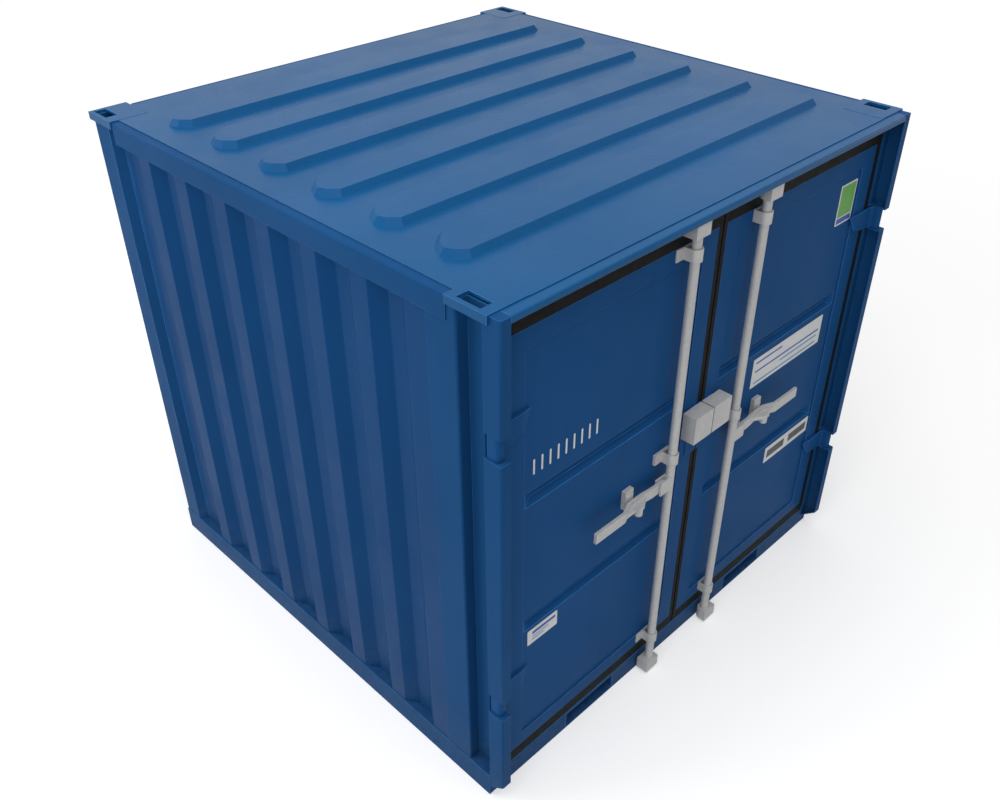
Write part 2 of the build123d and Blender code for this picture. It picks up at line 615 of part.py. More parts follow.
def handle():
    """Right handle: a flat bar from its pivot, dipped behind a hasp plate and cranked out to the grip."""
    dip = HANDLE_Y + HANDLE_DIP
    grip = HANDLE_Y - HANDLE_CRANK
    line = [(BAR_X + HANDLE_PIVOT, HANDLE_Y), (HANDLE_STRAIGHT_X, HANDLE_Y), (HANDLE_DIP_X, dip),
            (HANDLE_CRANK_X, dip), (HANDLE_CRANK_END_X, grip), (HANDLE_END_X, grip)]
    shape = upright(bent_sheet(line, HANDLE_THICK), HANDLE_LOW_Z, HANDLE_LOW_Z + HANDLE_HEIGHT)
    shape += pivot(HANDLE_HEIGHT / 2, HANDLE_Y - HANDLE_THICK, HANDLE_Y)
    return shape + hasp() - pivot(PIVOT_RADIUS + PIN_GAP, HANDLE_Y - HANDLE_THICK, HANDLE_Y)


def hasp():
    """Right hasp: a level plate welded into the dip of the handle, with a round knob under it."""
    inside = HANDLE_Y + HANDLE_DIP - HANDLE_THICK / 2
    grip = HANDLE_Y - HANDLE_CRANK - HANDLE_THICK
    step_x = HANDLE_CRANK_X - HASP_STEP
    plan = Polygon((HANDLE_DIP_X - HASP_TIP, inside), (HANDLE_DIP_X + HASP_WIDE, HASP_FRONT_Y + HASP_SWEEP),
                   (step_x, HASP_FRONT_Y), (step_x, grip), (HANDLE_CRANK_END_X, grip),
                   (HANDLE_CRANK_END_X, grip + HANDLE_THICK / 2), (HANDLE_CRANK_X, inside), align=None)
    low = HASP_TOP_Z - HASP_THICK
    spot = Pos(step_x - KNOB_INSET, HASP_FRONT_Y + KNOB_RADIUS, low - KNOB_HEIGHT)
    return upright(plan, low, HASP_TOP_Z) + spot * bore(KNOB_RADIUS, KNOB_HEIGHT)


def retainer():
    """Right handle retainer: a plate on the panel with a stepped block behind the handle."""
    x1 = RETAINER_X + RETAINER_WIDTH
    seat = DOOR_Y + PANEL_RECESS
    face = seat - RETAINER_THICK
    step = HANDLE_Y + HANDLE_DIP + MOVING_GAP
    shape = block(RETAINER_X, x1, face, seat, RETAINER_LOW_Z, RETAINER_TOP_Z)
    return shape + block(RETAINER_X + RETAINER_STEP_INSET, x1 - RETAINER_STEP_INSET, step, face,
                         RETAINER_LOW_Z, RETAINER_TOP_Z - RETAINER_STEP)


def lock_box():
    """Right half of the padlock box, open below and to the middle, on a plate over the seal."""
    x0 = BOX_HALF_GAP
    back = DOOR_Y - PROFILE
    box = block(x0, BOX_HALF_X, BOX_FRONT_Y, back, BOX_LOW_Z, BOX_TOP_Z)
    return box - block(x0, BOX_HALF_X - PROFILE, BOX_FRONT_Y + PROFILE, back - PROFILE,
                       BOX_LOW_Z, BOX_TOP_Z - PROFILE)


def box_plate():
    """Right half of the plate behind the padlock box."""
    return block(SEAL_INNER_X, BOX_PLATE_X, DOOR_Y - PROFILE, DOOR_Y, BOX_PLATE_LOW_Z, BOX_TOP_Z)


os.makedirs("parts", exist_ok=True)

wall = side_wall()
rail = top_rail()
base = base_rail()
rear = back_post()
front = front_post()
write("side_wall_left", wall)
write("side_wall_right", mirrored(wall))
write("back_wall", back_wall())
write("roof", roof())
write("top_rail_left", rail)
write("top_rail_right", mirrored(rail))
write("top_rail_back", top_rail_back())
write("door_header", header())
write("base_rail_left", base)
write("base_rail_right", mirrored(base))
sill_back_y = DOOR_Y + SILL_FLANGE
write("door_sill", cross_rail([(sill_back_y, 0), (DOOR_Y, 0), (DOOR_Y, SILL_Z), (sill_back_y, SILL_Z)]))
back_flange_y = POST_BACK_Y - BASE_FLANGE
write("base_rail_back", cross_rail([(back_flange_y, BASE_Z), (POST_BACK_Y, BASE_Z), (POST_BACK_Y, 0),
                                    (back_flange_y, 0)]))
write("forklift_pockets", pocket(True), mirrored(pocket(True)))
board_x = BASE_X - PROFILE - FLOOR_SIDE_GAP
write("floor", block(-board_x, board_x, sill_back_y + FLOOR_END_GAP, back_flange_y - FLOOR_END_GAP,
                     POCKET_Z, POCKET_Z + FLOOR_THICK))
write("back_post_left", rear)
write("back_post_right", mirrored(rear))
write("front_post_left", front)
write("front_post_right", mirrored(front))
write("hinge_pins", *hinge_pins())
plates = [corner_plate_front(), corner_plate_back()]
write("corner_plates", *plates, *[mirrored(plate) for plate in plates])

leaf = {
    "door_frame": [leaf_frame()],
    "door_panel": [leaf_panel()],
    "door_seal": [leaf_seal()],
    "hinge_straps": [strap(low) for low in NOTCH_LOW_Z],
    "bar_brackets": brackets(),
    "lock_bar": [lock_bar()],
    "lock_handle": [handle()],
    "handle_retainer": [retainer()],
    "lock_box": [lock_box()],
    "lock_box_plate": [box_plate()],
}
for name, solids in leaf.items():
    write(name + "_right", *solids)
    write(name + "_left", *[mirrored(solid) for solid in solids])
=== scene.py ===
import math

import bmesh
import bpy
from bpy.props import FloatProperty, FloatVectorProperty, IntProperty, PointerProperty
from mathutils import Matrix, Vector


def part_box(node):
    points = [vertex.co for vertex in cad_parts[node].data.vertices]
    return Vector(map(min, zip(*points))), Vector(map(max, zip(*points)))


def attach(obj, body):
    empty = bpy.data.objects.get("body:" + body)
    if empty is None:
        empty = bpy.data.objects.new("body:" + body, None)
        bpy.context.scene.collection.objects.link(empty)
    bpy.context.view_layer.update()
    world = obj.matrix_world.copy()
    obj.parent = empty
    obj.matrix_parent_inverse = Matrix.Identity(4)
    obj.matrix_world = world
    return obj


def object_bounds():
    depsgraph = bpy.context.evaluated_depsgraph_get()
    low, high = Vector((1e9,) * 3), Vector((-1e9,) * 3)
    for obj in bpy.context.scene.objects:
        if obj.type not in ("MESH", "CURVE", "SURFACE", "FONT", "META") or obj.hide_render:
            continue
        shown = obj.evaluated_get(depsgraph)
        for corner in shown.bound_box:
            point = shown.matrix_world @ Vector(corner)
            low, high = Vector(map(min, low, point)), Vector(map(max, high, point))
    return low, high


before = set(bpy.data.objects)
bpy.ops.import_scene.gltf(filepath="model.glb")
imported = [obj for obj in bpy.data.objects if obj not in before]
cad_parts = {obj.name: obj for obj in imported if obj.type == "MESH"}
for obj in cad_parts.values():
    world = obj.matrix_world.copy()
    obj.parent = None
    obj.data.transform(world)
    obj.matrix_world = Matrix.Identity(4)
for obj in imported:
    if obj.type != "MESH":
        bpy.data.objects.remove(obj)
CAD_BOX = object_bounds()

bl_info = {
    "name": "Steel storage container",
    "version": (1, 0, 0),
    "blender": (4, 5, 0),
    "location": "View3D > Sidebar > Container",
    "description": "Finishes, plates and studio stage of a small steel storage container",
    "category": "Object",
}

WHITE = (1.0, 1.0, 1.0, 1.0)

# Range that most of a soft noise lies in
NOISE_LOW = 0.3
NOISE_HIGH = 0.7

# Colour sockets of the mix node
MIX_FACTOR = 0
MIX_BASE = 6
MIX_OTHER = 7
MIX_RESULT = 2

# How far paint is smoother or rougher than its middle, and how much rougher a rubbed edge can be
PAINT_SMOOTHER = 0.05
PAINT_ROUGHER = 0.06
EDGE_ROUGHER = 0.12

# Depth of the fine grain in each finish, in metres
PAINT_DEPTH = 0.0004
EDGE_DEPTH = 0.0003
ZINC_DEPTH = 0.0004
RUBBER_DEPTH = 0.0003
BOARD_DEPTH = 0.0006
FILM_DEPTH = 0.0002

# How near two places count as one, in metres, and how the edges of the solids are found and rounded
SAME_POINT = 1e-5
FLAT_ANGLE = math.radians(0.5)
SHARP_ANGLE = math.radians(25)
EDGE_SEGMENTS = 2

# Leaf that carries each blank plate
PLATE_LEAVES = {
    "small_plate": "left",
    "field_plate": "right",
    "large_plate": "right",
    "weight_plate": "right",
}

# Bands on each plate: left, right, lower and upper edge as shares of the plate, and the ink
BAND_SHARES = {
    "small_plate": (
        ((0.16, 0.93, 0.62, 0.80), "blue"),
        ((0.16, 0.70, 0.42, 0.50), "sky"),
        ((0.16, 0.55, 0.22, 0.30), "sky"),
    ),
    "field_plate": (
        ((0.06, 0.94, 0.20, 0.96), "green"),
        ((0.06, 0.94, 0.04, 0.17), "blue"),
    ),
    "large_plate": (
        ((0.04, 0.96, 0.50, 0.56), "blue"),
        ((0.04, 0.40, 0.80, 0.86), "blue"),
        ((0.40, 0.94, 0.32, 0.38), "sky"),
        ((0.04, 0.94, 0.10, 0.16), "sky"),
    ),
    "weight_plate": (
        ((0.05, 0.44, 0.26, 0.74), "dark"),
        ((0.54, 0.95, 0.26, 0.74), "dark"),
    ),
}
BAND_INKS = ("blue", "sky", "green", "dark")
CORNER_SEGMENTS = 4

# A mark's thickness as a share of a plate's, and its corner radius as a share of its width
MARK_THICK_SHARE = 1 / 3
MARK_ROUND_SHARE = 1 / 3

# Floor in metres, camera sensor in millimetres and how far the camera sees in metres
FLOOR_HALF = 60.0
SENSOR_WIDTH = 36.0
CAMERA_REACH = 200.0


class ContainerFinish(bpy.types.PropertyGroup):
    """Colours and surface grain of the paint, zinc, rubber and boards."""

    body_paint: FloatVectorProperty(
        name="Body paint", description="Gloss blue of the rails, posts and sill",
        subtype="COLOR", size=3, min=0, max=1, default=(0.0099, 0.0665, 0.192))
    # The wall blue is a darker copy of the body blue: painted shade on the pressed walls
    wall_paint: FloatVectorProperty(
        name="Wall paint", description="Gloss blue of the pressed walls",
        subtype="COLOR", size=3, min=0, max=1, default=(0.0042, 0.0520, 0.168))
    # The roof blue is a lighter copy of the body blue: painted light on the roof, header and corner plates
    roof_paint: FloatVectorProperty(
        name="Roof paint", description="Gloss blue of the roof, header and corner plates",
        subtype="COLOR", size=3, min=0, max=1, default=(0.0048, 0.0820, 0.226))
    door_paint: FloatVectorProperty(
        name="Door paint", description="Gloss blue of the leaves",
        subtype="COLOR", size=3, min=0, max=1, default=(0.0103, 0.0735, 0.222))
    frame_shine: FloatProperty(
        name="Frame shine", description="Specular level of the paint on the frame and leaves",
        subtype="FACTOR", min=0, max=1, default=0.02)
    wall_shine: FloatProperty(
        name="Wall shine", description="Specular level of the paint on the pressed walls",
        subtype="FACTOR", min=0, max=1, default=0.045)
    roof_shine: FloatProperty(
        name="Roof shine", description="Specular level of the paint on the roof and corner plates",
        subtype="FACTOR", min=0, max=1, default=0.09)
    paint_rough: FloatProperty(
        name="Paint roughness", description="Middle roughness of the paint on the walls, frame and leaves",
        subtype="FACTOR", min=0, max=1, default=0.42)
    roof_rough: FloatProperty(
        name="Roof roughness", description="Middle roughness of the paint on the roof and corner plates",
        subtype="FACTOR", min=0, max=1, default=0.28)
    peel: FloatProperty(
        name="Orange peel", description="Size of the fine ripple in the paint",
        unit="LENGTH", default=0.004)
    edge: FloatProperty(
        name="Edge radius", description="Rounding of the cut and bent steel edges",
        unit="LENGTH", default=0.0008)
    dust: FloatVectorProperty(
        name="Dust", description="Grey of the light dust low on the paint",
        subtype="COLOR", size=3, min=0, max=1, default=(0.20, 0.22, 0.24))
    dust_height: FloatProperty(
        name="Dust height", description="Height at which the dust on the paint ends",
        unit="LENGTH", default=0.30)
    zinc: FloatVectorProperty(
        name="Lock gear", description="Grey of the galvanised lock gear",
        subtype="COLOR", size=3, min=0, max=1, default=(0.51, 0.51, 0.505))
    rubber: FloatVectorProperty(
        name="Seal", description="Black of the door seals",
        subtype="COLOR", size=3, min=0, max=1, default=(0.0085, 0.0085, 0.0085))
    board: FloatVectorProperty(
        name="Floor board", description="Brown of the floor boards",
        subtype="COLOR", size=3, min=0, max=1, default=(0.25, 0.14, 0.065))
    board_width: FloatProperty(
        name="Board width", description="Distance from one joint of the floor boards to the next",
        unit="LENGTH", default=0.60)
    joint: FloatVectorProperty(
        name="Board joint", description="Dark brown of the joints between the floor boards",
        subtype="COLOR", size=3, min=0, max=1, default=(0.012, 0.010, 0.008))
    joint_reach: FloatProperty(
        name="Joint reach", description="Distance from the middle of a joint to its soft rim",
        unit="LENGTH", default=0.003)


class ContainerMarks(bpy.types.PropertyGroup):
    """Blank plates and the row of plain marks on the leaves."""

    small_plate: FloatVectorProperty(
        name="Small plate", description="Left, right, lower and upper edge of the small plate",
        unit="LENGTH", size=4, default=(-0.806, -0.670, 0.587, 0.650))
    field_plate: FloatVectorProperty(
        name="Upper plate", description="Left, right, lower and upper edge of the upper plate",
        unit="LENGTH", size=4, default=(0.719, 0.825, 1.512, 1.663))
    large_plate: FloatVectorProperty(
        name="Large plate", description="Left, right, lower and upper edge of the large plate",
        unit="LENGTH", size=4, default=(0.318, 0.772, 1.021, 1.142))
    weight_plate: FloatVectorProperty(
        name="Lower plate", description="Left, right, lower and upper edge of the lower plate",
        unit="LENGTH", size=4, default=(0.518, 0.827, 0.573, 0.646))
    plate_thick: FloatProperty(
        name="Plate thickness", description="Thickness of a blank plate",
        unit="LENGTH", default=0.0010)
    plate_round: FloatProperty(
        name="Plate corner", description="Corner radius of a blank plate",
        unit="LENGTH", default=0.004)
    ink_thick: FloatProperty(
        name="Ink thickness", description="Thickness of a printed band",
        unit="LENGTH", default=0.0003)
    ink_round: FloatProperty(
        name="Ink corner", description="Corner radius of a printed band",
        unit="LENGTH", default=0.0012)
    plate_white: FloatVectorProperty(
        name="Plate white", description="Colour of the blank plates and the row of marks",
        subtype="COLOR", size=3, min=0, max=1, default=(0.70, 0.71, 0.715))
    band_blue: FloatVectorProperty(
        name="Band blue", description="Colour of the strong bands",
        subtype="COLOR", size=3, min=0, max=1, default=(0.022, 0.070, 0.36))
    band_sky: FloatVectorProperty(
        name="Band pale blue", description="Colour of the fine bands",
        subtype="COLOR", size=3, min=0, max=1, default=(0.13, 0.30, 0.52))
    band_green: FloatVectorProperty(
        name="Field green", description="Colour of the field on the upper plate",
        subtype="COLOR", size=3, min=0, max=1, default=(0.10, 0.36, 0.045))
    band_dark: FloatVectorProperty(
        name="Band dark", description="Colour of the bands on the lower plate",
        subtype="COLOR", size=3, min=0, max=1, default=(0.03, 0.03, 0.035))
    mark_spot: FloatVectorProperty(
        name="Row of marks", description="Left, right, lower and upper edge of the row of marks",
        unit="LENGTH", size=4, default=(-0.806, -0.508, 1.274, 1.327))
    mark_count: IntProperty(
        name="Marks", description="Number of marks in the row", min=1, default=9)
    mark_width: FloatProperty(
        name="Mark width", description="Width of one mark",
        unit="LENGTH", default=0.007)


class ContainerFittings(bpy.types.PropertyGroup):
    """Thin sheets behind the hinge notches of the front posts."""

    notch_low: FloatVectorProperty(
        name="Notch feet", description="Lower edge of the two notches",
        unit="LENGTH", size=2, default=(0.438, 1.443))
    notch_height: FloatProperty(
        name="Notch height", description="Height of a notch",
        unit="LENGTH", default=0.081)
    backing_x: FloatProperty(
        name="Backing place", description="Inner edge of a sheet from the middle plane",
        unit="LENGTH", default=0.942)
    backing_y: FloatProperty(
        name="Backing front", description="Front face of a sheet",
        unit="LENGTH", default=-0.930)
    backing_width: FloatProperty(
        name="Backing width", description="Width of a sheet",
        unit="LENGTH", default=0.036)
    backing_thick: FloatProperty(
        name="Backing thickness", description="Thickness of a sheet",
        unit="LENGTH", default=0.0015)
    backing_height: FloatProperty(
        name="Backing height", description="Height of a sheet, with a lap above and below the notch",
        unit="LENGTH", default=0.095)


class ContainerStage(bpy.types.PropertyGroup):
    """Camera, lamps and the plain floor."""

    eye: FloatVectorProperty(
        name="Camera place", description="Where the camera stands",
        subtype="TRANSLATION", unit="LENGTH", size=3, default=(-2.3671, -2.4025, 3.0380))
    turn: FloatVectorProperty(
        name="Camera angles", description="Azimuth and elevation of the view",
        subtype="EULER", unit="ROTATION", size=2, default=(math.radians(-45.092), math.radians(35.258)))
    lens: FloatProperty(
        name="Lens", description="Focal length in millimetres on a 36 mm sensor", default=36.29)
    shift: FloatVectorProperty(
        name="Camera shift", description="Shift of the picture as shares of its width",
        size=2, default=(-0.00974, 0.00451))
    floor_white: FloatProperty(
        name="Floor white", description="Lightness of the floor",
        subtype="FACTOR", min=0, max=1, default=0.80)
    floor_glow: FloatVectorProperty(
        name="Floor glow", description="Light of the floor itself, beside the container and far off",
        size=2, default=(0.40, 0.72))
    glow_reach: FloatVectorProperty(
        name="Glow reach", description="Distances from the middle between which the glow rises",
        unit="LENGTH", size=2, default=(1.3, 8.0))
    sky: FloatProperty(
        name="Soft light", description="Strength of the light all round", default=0.33)
    front_lamp: FloatVectorProperty(
        name="Front lamp place", description="Where the lamp before the left corner hangs",
        subtype="TRANSLATION", unit="LENGTH", size=3, default=(-4.2, -2.6, 3.6))
    front_power: FloatProperty(
        name="Front lamp", description="Power of the lamp before the left corner",
        subtype="POWER", unit="POWER", default=54.0)
    front_size: FloatProperty(
        name="Front lamp size", description="Side of the square lamp before the left corner",
        unit="LENGTH", default=3.0)
    side_lamp: FloatVectorProperty(
        name="Side lamp place", description="Where the lamp beyond the left wall hangs",
        subtype="TRANSLATION", unit="LENGTH", size=3, default=(-4.2, 2.6, 3.4))
    side_power: FloatProperty(
        name="Side lamp", description="Power of the lamp beyond the left wall",
        subtype="POWER", unit="POWER", default=88.0)
    side_size: FloatProperty(
        name="Side lamp size", description="Side of the square lamp beyond the left wall",
        unit="LENGTH", default=3.0)
    top_lamp: FloatVectorProperty(
        name="Top lamp place", description="Where the lamp above the roof hangs",
        subtype="TRANSLATION", unit="LENGTH", size=3, default=(-0.8, -1.1, 6.0))
    top_power: FloatProperty(
        name="Top lamp", description="Power of the lamp above the roof",
        subtype="POWER", unit="POWER", default=188.0)
    top_size: FloatProperty(
        name="Top lamp size", description="Side of the square lamp above the roof",
        unit="LENGTH", default=5.5)


def shader(name, **sockets):
    """A new principled material with its plain sockets set, and its node tree."""
    made = bpy.data.materials.new(name)
    made.use_nodes = True
    tree = made.node_tree
    skin = tree.nodes["Principled BSDF"]
    for socket, value in sockets.items():
        skin.inputs[socket.replace("_", " ")].default_value = value
    return made, tree, skin


def node(tree, kind, links=(), **values):
    """A node of a kind, with its settings, plain inputs and links."""
    made = tree.nodes.new(kind)
    for name, value in values.items():
        if hasattr(made, name):
            setattr(made, name, value)
        else:
            made.inputs[name.replace("_", " ")].default_value = value
    for socket, source in dict(links).items():
        tree.links.new(source, made.inputs[socket])
    return made


def feed(tree, socket, value):
    """Link a socket to another one, or set its plain value."""
    if isinstance(value, bpy.types.NodeSocket):
        tree.links.new(value, socket)
    else:
        socket.default_value = value


def worked(tree, operation, *terms):
    """The value of a math node whose terms are sockets or plain numbers."""
    made = node(tree, "ShaderNodeMath", operation=operation)
    for socket, term in zip(made.inputs, terms):
        feed(tree, socket, term)
    return made.outputs["Value"]


def ramp(tree, source, start, end, low, high):
    """A value brought from one range to another and held at both ends."""
    return node(tree, "ShaderNodeMapRange", {"Value": source},
                From_Min=start, From_Max=end, To_Min=low, To_Max=high).outputs["Result"]


def place(tree, scale=(1, 1, 1)):
    """Object coordinates stretched by a scale."""
    coordinates = node(tree, "ShaderNodeTexCoord").outputs["Object"]
    return node(tree, "ShaderNodeMapping", {"Vector": coordinates}, Scale=scale).outputs["Vector"]


def along(tree, axis):
    """One of the object coordinates."""
    return node(tree, "ShaderNodeSeparateXYZ", {"Vector": place(tree)}).outputs[axis]


def noise(tree, scale, detail=2.0, stretch=(1, 1, 1)):
    """Soft noise in the object's own space."""
    return node(tree, "ShaderNodeTexNoise", {"Vector": place(tree, stretch)},
                Scale=scale, Detail=detail).outputs["Fac"]


def spread(tree, source, low=0.0, high=1.0):
    """Soft noise brought to a range."""
    return ramp(tree, source, NOISE_LOW, NOISE_HIGH, low, high)


def opaque(color, scale=1.0):
    """A colour with alpha, made lighter or darker."""
    return (*[min(1.0, part * scale) for part in color], 1.0)


def tint(tree, base, factor, other):
    """A base colour mixed towards another by a factor."""
    mixed = node(tree, "ShaderNodeMix", data_type="RGBA")
    feed(tree, mixed.inputs[MIX_FACTOR], factor)
    feed(tree, mixed.inputs[MIX_BASE], base)
    feed(tree, mixed.inputs[MIX_OTHER], other)
    return mixed.outputs[MIX_RESULT]


def mottled(tree, color, dark, light, **grain):
    """A colour that wanders between a darker and a lighter tone of itself."""
    cloud = spread(tree, noise(tree, **grain))
    return tint(tree, opaque(color, dark), cloud, opaque(color, light))


def veiled(tree, tone, veil, most, **grain):
    """A tone under a thin and patchy veil of another colour."""
    return tint(tree, tone, spread(tree, noise(tree, **grain), high=most), veil)


def colored(tree, skin, tone):
    """Give the skin its colour."""
    tree.links.new(tone, skin.inputs["Base Color"])


def roughened(tree, skin, source, low, high):
    """Give the skin a roughness that wanders between two values."""
    tree.links.new(spread(tree, source, low, high), skin.inputs["Roughness"])


def rippled(tree, skin, source, depth, strength):
    """Give the skin a fine bump of a depth in metres."""
    bump = node(tree, "ShaderNodeBump", {"Height": source}, Strength=strength, Distance=depth)
    tree.links.new(bump.outputs["Normal"], skin.inputs["Normal"])


def paint(name, color, settings, shine, rough):
    """Sprayed gloss paint on steel: cloudy tone, pale streaks, dust low down and a fine orange peel."""
    made, tree, skin = shader(name, Specular_IOR_Level=shine)
    tone = mottled(tree, color, dark=0.93, light=1.07, scale=1.7, detail=3.0)
    pale = opaque(color, scale=1.45)
    tone = veiled(tree, tone, pale, most=0.10, scale=9.0, detail=3.0, stretch=(3.0, 3.0, 0.12))
    low_down = ramp(tree, along(tree, "Z"), start=settings.dust_height, end=0.0, low=0.0, high=1.0)
    speck = spread(tree, noise(tree, scale=38.0, detail=4.0), high=0.12)
    tone = tint(tree, tone, worked(tree, "MULTIPLY", low_down, speck), opaque(settings.dust))
    colored(tree, skin, tone)
    patch = noise(tree, scale=5.5, detail=3.0)
    roughened(tree, skin, patch, rough - PAINT_SMOOTHER, rough + PAINT_ROUGHER)
    rippled(tree, skin, noise(tree, scale=1.0 / settings.peel), PAINT_DEPTH, strength=0.20)
    return made


def edge_highlight_and_wear(name, color, rough):
    """Paint along an edge, paler than the coat: partly wear, partly a painted highlight of the edge, uneven
    and a little rougher.
    """
    made, tree, skin = shader(name, Specular_IOR_Level=0.25)
    # The edge tone is 1.5 to 3.2 times the paint's colour: a painted highlight along the edge, with some
    # wear
    colored(tree, skin, mottled(tree, color, dark=1.5, light=3.2, scale=13.0, detail=4.0))
    roughened(tree, skin, noise(tree, scale=60.0), rough, rough + EDGE_ROUGHER)
    rippled(tree, skin, noise(tree, scale=300.0), EDGE_DEPTH, strength=0.15)
    return made


def zinc(name, color):
    """Hot dip zinc: dull grey with a soft crystal spangle and darker drips."""
    made, tree, skin = shader(name, Metallic=0.15, Specular_IOR_Level=0.40)
    flake = node(tree, "ShaderNodeTexVoronoi", {"Vector": place(tree)}, Scale=85.0).outputs["Color"]
    spangle = node(tree, "ShaderNodeSeparateColor", {"Color": flake}).outputs["Red"]
    tone = tint(tree, opaque(color, scale=0.96), spangle, opaque(color, scale=1.05))
    drip = opaque(color, scale=0.72)
    tone = veiled(tree, tone, drip, most=0.14, scale=7.0, detail=3.0, stretch=(4.0, 4.0, 0.4))
    colored(tree, skin, tone)
    roughened(tree, skin, noise(tree, scale=60.0, detail=3.0), low=0.44, high=0.58)
    rippled(tree, skin, noise(tree, scale=210.0, detail=3.0), ZINC_DEPTH, strength=0.15)
    return made


def rubber(name, color):
    """Extruded black rubber, matt with a faint bloom."""
    made, tree, skin = shader(name, Specular_IOR_Level=0.06)
    bloom = opaque(color, scale=1.9)
    colored(tree, skin, veiled(tree, opaque(color), bloom, most=0.35, scale=14.0, detail=4.0))
    roughened(tree, skin, noise(tree, scale=45.0, detail=3.0), low=0.58, high=0.74)
    rippled(tree, skin, noise(tree, scale=600.0), RUBBER_DEPTH, strength=0.25)
    return made


def boards(name, settings):
    """Film-faced floor boards: long grain, knots and dark joints between the boards."""
    made, tree, skin = shader(name, Specular_IOR_Level=0.35)
    color = settings.board
    grain = noise(tree, scale=16.0, detail=6.0, stretch=(1.0, 9.0, 1.0))
    tone = tint(tree, opaque(color, scale=0.72), spread(tree, grain), opaque(color, scale=1.25))
    knot = opaque(color, scale=0.55)
    tone = veiled(tree, tone, knot, most=0.35, scale=3.0, stretch=(1.0, 3.0, 1.0))
    half = settings.board_width / 2
    gap = worked(tree, "ABSOLUTE", worked(tree, "WRAP", along(tree, "Y"), half, -half))
    joint = ramp(tree, gap, start=settings.joint_reach / 2, end=settings.joint_reach, low=0.85, high=0.0)
    colored(tree, skin, tint(tree, tone, joint, opaque(settings.joint)))
    roughened(tree, skin, grain, low=0.48, high=0.66)
    rippled(tree, skin, grain, BOARD_DEPTH, strength=0.35)
    return made


def film(name, color):
    """Printed film of a blank plate, faintly uneven and a little glossy."""
    made, tree, skin = shader(name, Specular_IOR_Level=0.35)
    colored(tree, skin, mottled(tree, color, dark=0.95, light=1.04, scale=22.0, detail=4.0))
    roughened(tree, skin, noise(tree, scale=70.0), low=0.36, high=0.48)
    rippled(tree, skin, noise(tree, scale=420.0), FILM_DEPTH, strength=0.12)
    return made


def both(*names):
    """Left and right node names."""
    return [f"{name}_{side}" for name in names for side in ("left", "right")]


def dress(names, *materials):
    """Give CAD nodes their finish and, after it, the finish of their edges where that differs."""
    for name in names:
        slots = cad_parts[name].data.materials
        slots.clear()
        for finish in materials:
            slots.append(finish)


def finished(name, bm, body, finish):
    """Turn a bmesh into a piece that rides on a body."""
    bmesh.ops.recalc_face_normals(bm, faces=bm.faces)
    mesh = bpy.data.meshes.new(name)
    bm.to_mesh(mesh)
    bm.free()
    mesh.materials.append(finish)
    piece = bpy.data.objects.new(name, mesh)
    bpy.context.scene.collection.objects.link(piece)
    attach(piece, body)


class CONTAINER_OT_paint_body(bpy.types.Operator):
    """Paint the walls, roof, rails, posts and corner plates"""

    bl_idname = "container.paint_body"
    bl_label = "Paint body"

    def execute(self, context):
        settings = context.scene.container_finish
        rough = settings.paint_rough
        coat = paint("body_paint_gloss", settings.body_paint, settings, settings.frame_shine, rough)
        # Paler paint for the rounded edges: a painted highlight along them, with some wear
        worn_and_highlit = edge_highlight_and_wear("body_paint_edge", settings.body_paint, rough)
        dress(["hinge_pins"], coat)
        dress(both("top_rail", "base_rail", "back_post", "front_post"), coat, worn_and_highlit)
        dress(["top_rail_back", "base_rail_back", "door_sill", "forklift_pockets"], coat, worn_and_highlit)
        # The walls take the darker copy of the blue: painted shade
        coat = paint("wall_paint_gloss", settings.wall_paint, settings, settings.wall_shine, rough)
        dress([*both("side_wall"), "back_wall"], coat)
        # Roof, header and corner plates take the lighter copy of the blue: painted light
        rough = settings.roof_rough
        coat = paint("roof_paint_gloss", settings.roof_paint, settings, settings.roof_shine, rough)
        dress(["roof"], coat)
        dress(["corner_plates", "door_header"], coat, worn_and_highlit)
        return {"FINISHED"}


class CONTAINER_OT_paint_doors(bpy.types.Operator):
    """Paint the leaves, their straps and the plates behind the lock box"""

    bl_idname = "container.paint_doors"
    bl_label = "Paint doors"

    def execute(self, context):
        settings = context.scene.container_finish
        rough = settings.paint_rough
        coat = paint("door_paint_gloss", settings.door_paint, settings, settings.frame_shine, rough)
        # Paler paint for the rounded edges of the leaves: a painted highlight along them, with some wear
        worn_and_highlit = edge_highlight_and_wear("door_paint_edge", settings.door_paint, rough)
        dress(both("door_frame", "door_panel", "hinge_straps", "lock_box_plate"), coat, worn_and_highlit)
        return {"FINISHED"}


class CONTAINER_OT_zinc_gear(bpy.types.Operator):
    """Give the lock bars, handles, brackets, retainers and lock box their zinc"""

    bl_idname = "container.zinc_gear"
    bl_label = "Zinc lock gear"

    def execute(self, context):
        coat = zinc("lock_gear_zinc", context.scene.container_finish.zinc)
        dress(both("lock_bar", "lock_handle", "bar_brackets", "handle_retainer", "lock_box"), coat)
        return {"FINISHED"}


class CONTAINER_OT_fit_seals(bpy.types.Operator):
    """Give the door seals their rubber"""

    bl_idname = "container.fit_seals"
    bl_label = "Fit seals"

    def execute(self, context):
        dress(both("door_seal"), rubber("seal_rubber", context.scene.container_finish.rubber))
        return {"FINISHED"}


class CONTAINER_OT_lay_floor(bpy.types.Operator):
    """Give the floor its boards"""

    bl_idname = "container.lay_floor"
    bl_label = "Lay floor"

    def execute(self, context):
        dress(["floor"], boards("floor_board_grain", context.scene.container_finish))
        return {"FINISHED"}


